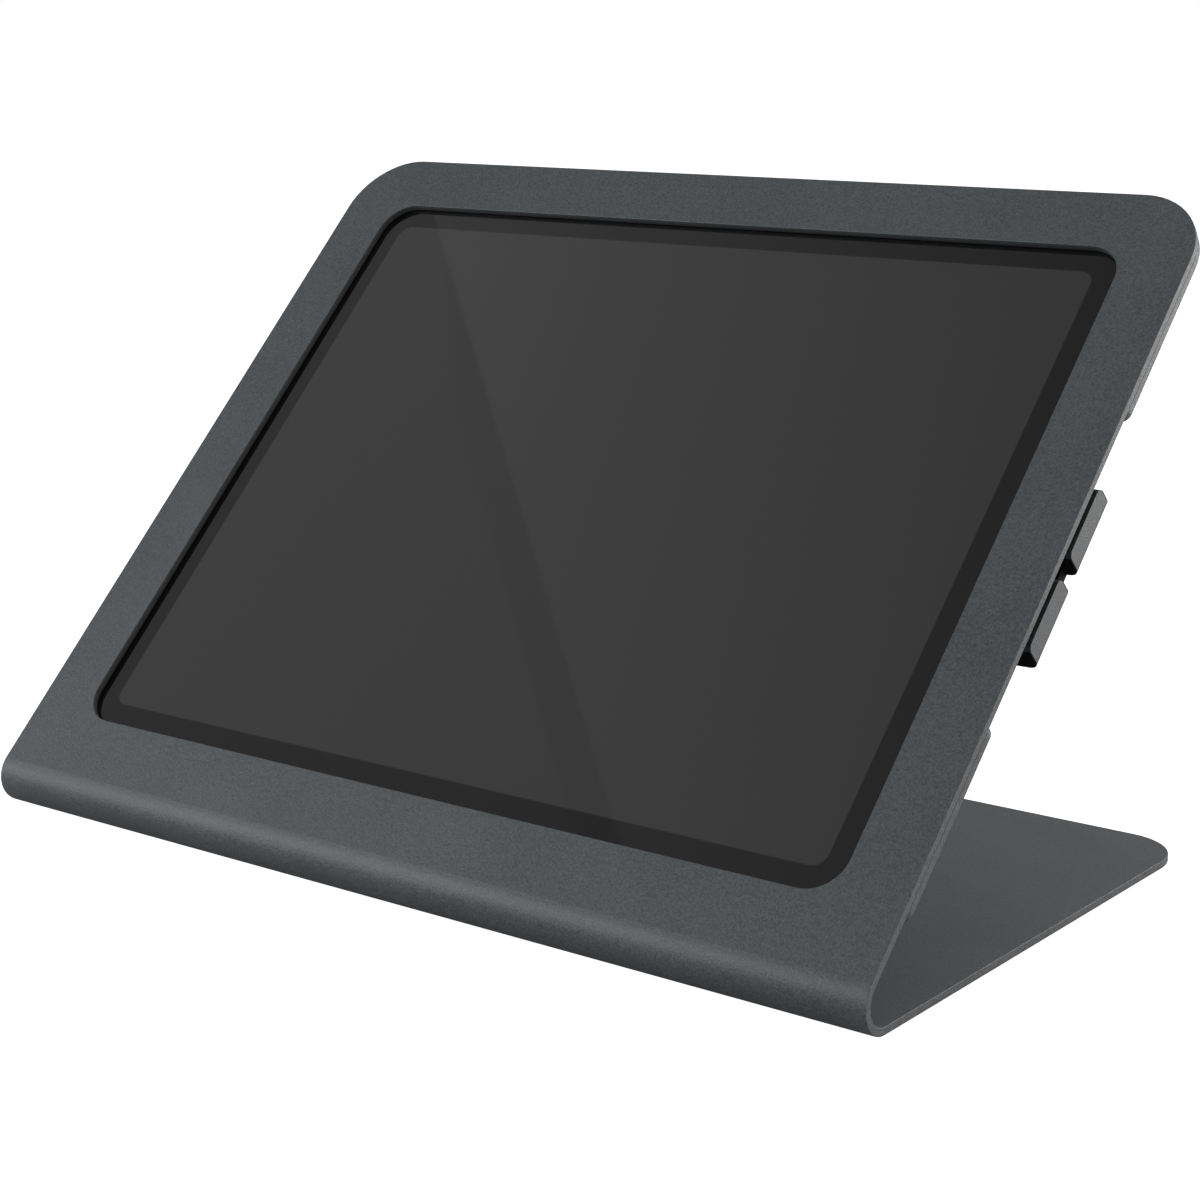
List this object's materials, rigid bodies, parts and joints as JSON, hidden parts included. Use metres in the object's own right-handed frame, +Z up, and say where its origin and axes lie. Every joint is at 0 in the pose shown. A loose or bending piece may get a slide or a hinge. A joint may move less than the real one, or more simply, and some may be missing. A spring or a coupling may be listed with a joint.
{
  "type": "touchscreen kiosk",
  "caption": "Folded steel counter stand holding a tablet behind a window in its leaning panel, clamped by a bent rear retainer.",
  "frame": {"origin": "on the surface that the feet stand on, under the middle of the kiosk's width and depth", "axes": "+Z up, +X to the right of a person facing the screen, -Y towards that person"},
  "size_m": [0.3186, 0.1893, 0.1952],
  "materials": {
    "painted_steel": "fine-textured dark grey powder coat, matt",
    "rubber": "matt black",
    "foam": "closed-cell foam, matt",
    "zinc_steel": "zinc plated",
    "stainless_steel": "turned, satin",
    "screen_glass": "polished, black border printed behind it",
    "display": "dark, switched off",
    "reflector": "white film",
    "aluminium": "bead-blasted, anodised grey",
    "dark_plastic": "moulded",
    "battery_wrap": "foil pouch with black film",
    "flex_circuit": "amber film",
    "circuit_board": "solder mask",
    "chip_resin": "moulded resin",
    "lens_glass": "polished"
  },
  "bodies": {
    "stand": {"ambient_sensor": "dark_plastic", "antenna_flexes": "flex_circuit", "antenna_strips": "dark_plastic", "back_pads": "foam", "backlight_unit": "reflector", "battery_flex": "flex_circuit", "board_screws": "zinc_steel", "board_shields": "zinc_steel", "cable_grommets": "rubber", "case_magnets": "zinc_steel", "cover_glass": "screen_glass", "display_cell": "display", "display_flex": "flex_circuit", "display_gasket": "rubber", "edge_bumpers": "rubber", "flange_liners": "rubber", "folded_body": "painted_steel", "front_camera": "dark_plastic", "lower_battery_cell": "battery_wrap", "main_board": "circuit_board", "memory_chips": "chip_resin", "microphones": "zinc_steel", "panel_studs": "zinc_steel", "port_flex": "flex_circuit", "port_shell": "stainless_steel", "port_tongue": "dark_plastic", "power_switch": "zinc_steel", "power_switch_bracket": "zinc_steel", "processor_chip": "chip_resin", "rear_camera_lens": "lens_glass", "rear_camera_module": "dark_plastic", "rear_camera_ring": "aluminium", "retainer_plate": "painted_steel", "rubber_feet": "rubber", "security_nuts": "stainless_steel", "side_bumpers": "rubber", "speaker_meshes": "stainless_steel", "speaker_modules": "dark_plastic", "stud_washers": "zinc_steel", "tablet_housing": "aluminium", "upper_battery_cell": "battery_wrap", "volume_switch_bracket": "zinc_steel", "volume_switches": "zinc_steel"},
    "power_button": {"power_button": "aluminium"},
    "volume_up_button": {"volume_up_button": "aluminium"},
    "volume_down_button": {"volume_down_button": "aluminium"}
  },
  "joints": [
    {"name": "power_press", "type": "slide", "parent": "stand", "child": "power_button", "axis": [1, 0, 0], "range_m": [0, 0.00025], "stiffness_N_per_m": 12000},
    {"name": "volume_up_press", "type": "slide", "parent": "stand", "child": "volume_up_button", "axis": [0, -0.7071, -0.7071], "range_m": [0, 0.00025], "stiffness_N_per_m": 12000},
    {"name": "volume_down_press", "type": "slide", "parent": "stand", "child": "volume_down_button", "axis": [0, -0.7071, -0.7071], "range_m": [0, 0.00025], "stiffness_N_per_m": 12000}
  ]
}
